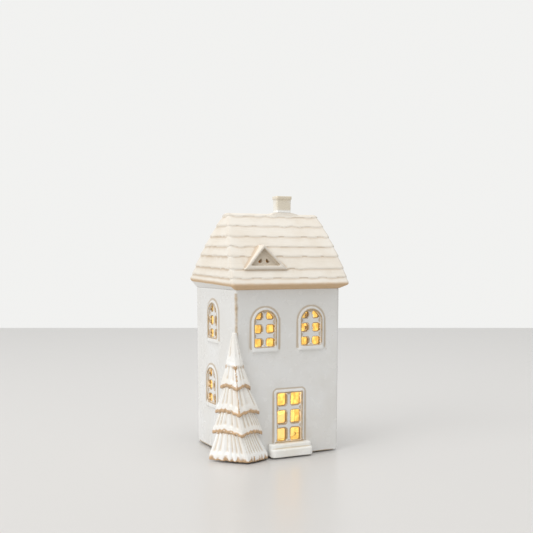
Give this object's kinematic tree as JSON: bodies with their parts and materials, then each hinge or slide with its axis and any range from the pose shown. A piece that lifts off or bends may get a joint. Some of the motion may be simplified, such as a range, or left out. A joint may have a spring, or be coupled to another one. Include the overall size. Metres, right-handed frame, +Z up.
{
  "type": "light-up christmas house",
  "caption": "Light-up ceramic Christmas house with pierced arched windows, a shingled roof, a glazed fir tree on its corner and a battery lamp that pulls out of its base.",
  "frame": {"origin": "on the table, under the middle of the whole piece's bounding box", "axes": "+Z up; -Y is the front with the door, the dormer and the doorstep; +X is to the right seen from the front"},
  "size_m": [0.1028, 0.0864, 0.183],
  "materials": {
    "wall_glaze": "glossy reactive white glaze, brown where it breaks on the edges",
    "roof_clay": "matt unglazed clay with scraped rows of shingles",
    "tree_glaze": "glossy white glaze with brown rims",
    "step_glaze": "glossy white glaze with brown edges",
    "chimney_lustre": "pearly cream lustre",
    "pad_rubber": "soft translucent",
    "lamp_plastic": "fine satin",
    "seal_rubber": "soft translucent",
    "diffuser_frost": "frosted",
    "led_lens": "clear warm lens",
    "board_laminate": "green laminate",
    "resistor_black": "matt",
    "screw_steel": "zinc plated",
    "switch_steel": "tinned",
    "slider_black": "satin",
    "cell_steel": "polished, brushed caps",
    "contact_brass": "bright spring strip"
  },
  "bodies": {
    "house": {"wall_shell": "wall_glaze", "roof_shell": "roof_clay", "chimney": "chimney_lustre", "door_step": "step_glaze", "fir_tree": "tree_glaze", "foot_pad_front_left": "pad_rubber", "foot_pad_front_right": "pad_rubber", "foot_pad_back_left": "pad_rubber", "foot_pad_back_right": "pad_rubber"},
    "lamp": {"lamp_base": "lamp_plastic", "lamp_cup": "lamp_plastic", "lamp_seal": "seal_rubber", "diffuser_dome": "diffuser_frost", "led_bulb": "led_lens", "circuit_board": "board_laminate", "resistor": "resistor_black", "switch_case": "switch_steel", "cover_screw_left": "screw_steel", "cover_screw_right": "screw_steel", "button_cell_1": "cell_steel", "button_cell_2": "cell_steel", "button_cell_3": "cell_steel", "contact_negative": "contact_brass", "contact_positive": "contact_brass"},
    "battery_lid": {"battery_door": "lamp_plastic"},
    "lid_screw": {"door_screw": "screw_steel"},
    "switch_knob": {"switch_slider": "slider_black"}
  },
  "joints": [
    {"name": "lamp_pull", "type": "slide", "parent": "house", "child": "lamp", "axis": [0, 0, -1], "range_m": [0, 0.04]},
    {"name": "battery_door_lift", "type": "slide", "parent": "lamp", "child": "battery_lid", "axis": [0, 0, -1], "range_m": [0, 0.012]},
    {"name": "door_screw_turn", "type": "hinge", "parent": "battery_lid", "child": "lid_screw", "pos_m": [0.01876, -0.00204, 0.0037], "axis": [0, 0, 1], "continuous": true},
    {"name": "switch_slide", "type": "slide", "parent": "lamp", "child": "switch_knob", "axis": [-1, 0, 0], "range_m": [0, 0.003]}
  ]
}
